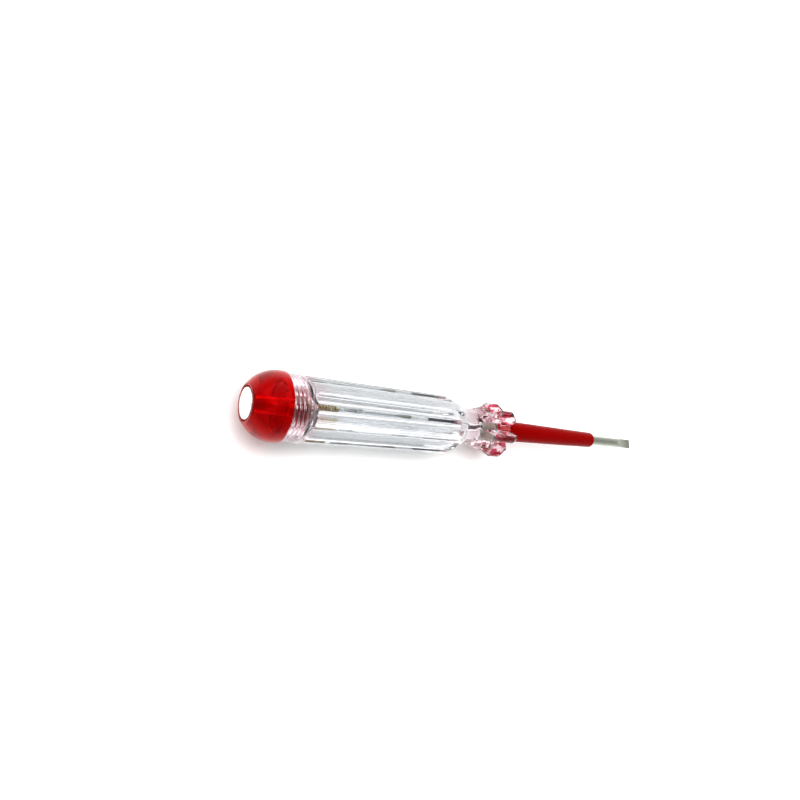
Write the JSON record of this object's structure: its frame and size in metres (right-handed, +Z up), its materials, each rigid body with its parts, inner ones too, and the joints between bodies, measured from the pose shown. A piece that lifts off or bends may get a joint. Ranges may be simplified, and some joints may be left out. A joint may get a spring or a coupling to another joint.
{
  "type": "voltage tester screwdriver",
  "caption": "Mains voltage tester screwdriver: clear ribbed handle with neon lamp, resistor and spring, red screw cap with touch contact, sleeved flat blade.",
  "frame": {"origin": "under the middle of the tool, on the surface that it lies on", "axes": "+X from the end cap to the tip of the blade, +Y to the side, +Z up through a flute of the handle"},
  "size_m": [0.1406, 0.016, 0.016],
  "materials": {
    "clear_plastic": "clear moulded plastic, polished",
    "red_cap_plastic": "see-through red moulded plastic, glossy",
    "red_sleeve_plastic": "solid red plastic, satin",
    "bright_nickel": "bright nickel plate",
    "blank_steel": "drawn steel, light warm grey",
    "spring_brass": "bright spring wire",
    "lamp_glass": "thin clear glass",
    "grey_nickel": "dull grey plate",
    "tinned_wire": "tinned wire with a warm tone",
    "white_ceramic": null,
    "black_coating": "black resistor coating, semi-matt"
  },
  "bodies": {
    "handle_body": {"handle": "clear_plastic", "contact_spring": "spring_brass", "lamp_glass": "lamp_glass", "lamp_electrode_return": "grey_nickel", "lamp_electrode_front": "grey_nickel", "lamp_return_lead": "tinned_wire", "lamp_front_lead": "tinned_wire", "resistor_rear_cap": "grey_nickel", "resistor_core": "white_ceramic", "resistor_coating": "black_coating", "resistor_front_cap": "grey_nickel", "blade_shaft": "blank_steel", "insulating_sleeve": "red_sleeve_plastic"},
    "contact_body": {"touch_contact": "bright_nickel"},
    "cap_body": {"end_cap": "red_cap_plastic"}
  },
  "joints": [
    {"name": "cap_travel", "type": "slide", "parent": "handle_body", "child": "contact_body", "axis": [-1, 0, 0], "range_m": [0, 0.004], "deforming": ["contact_spring"]},
    {"name": "cap_turn", "type": "hinge", "parent": "contact_body", "child": "cap_body", "pos_m": [-0.0635, 0, 0.008], "axis": [-1, 0, 0], "range_deg": [0, 1440]}
  ],
  "couplings": [
    {"joint": "cap_turn", "follows": "cap_travel", "rad_per_m": 6283.1}
  ]
}
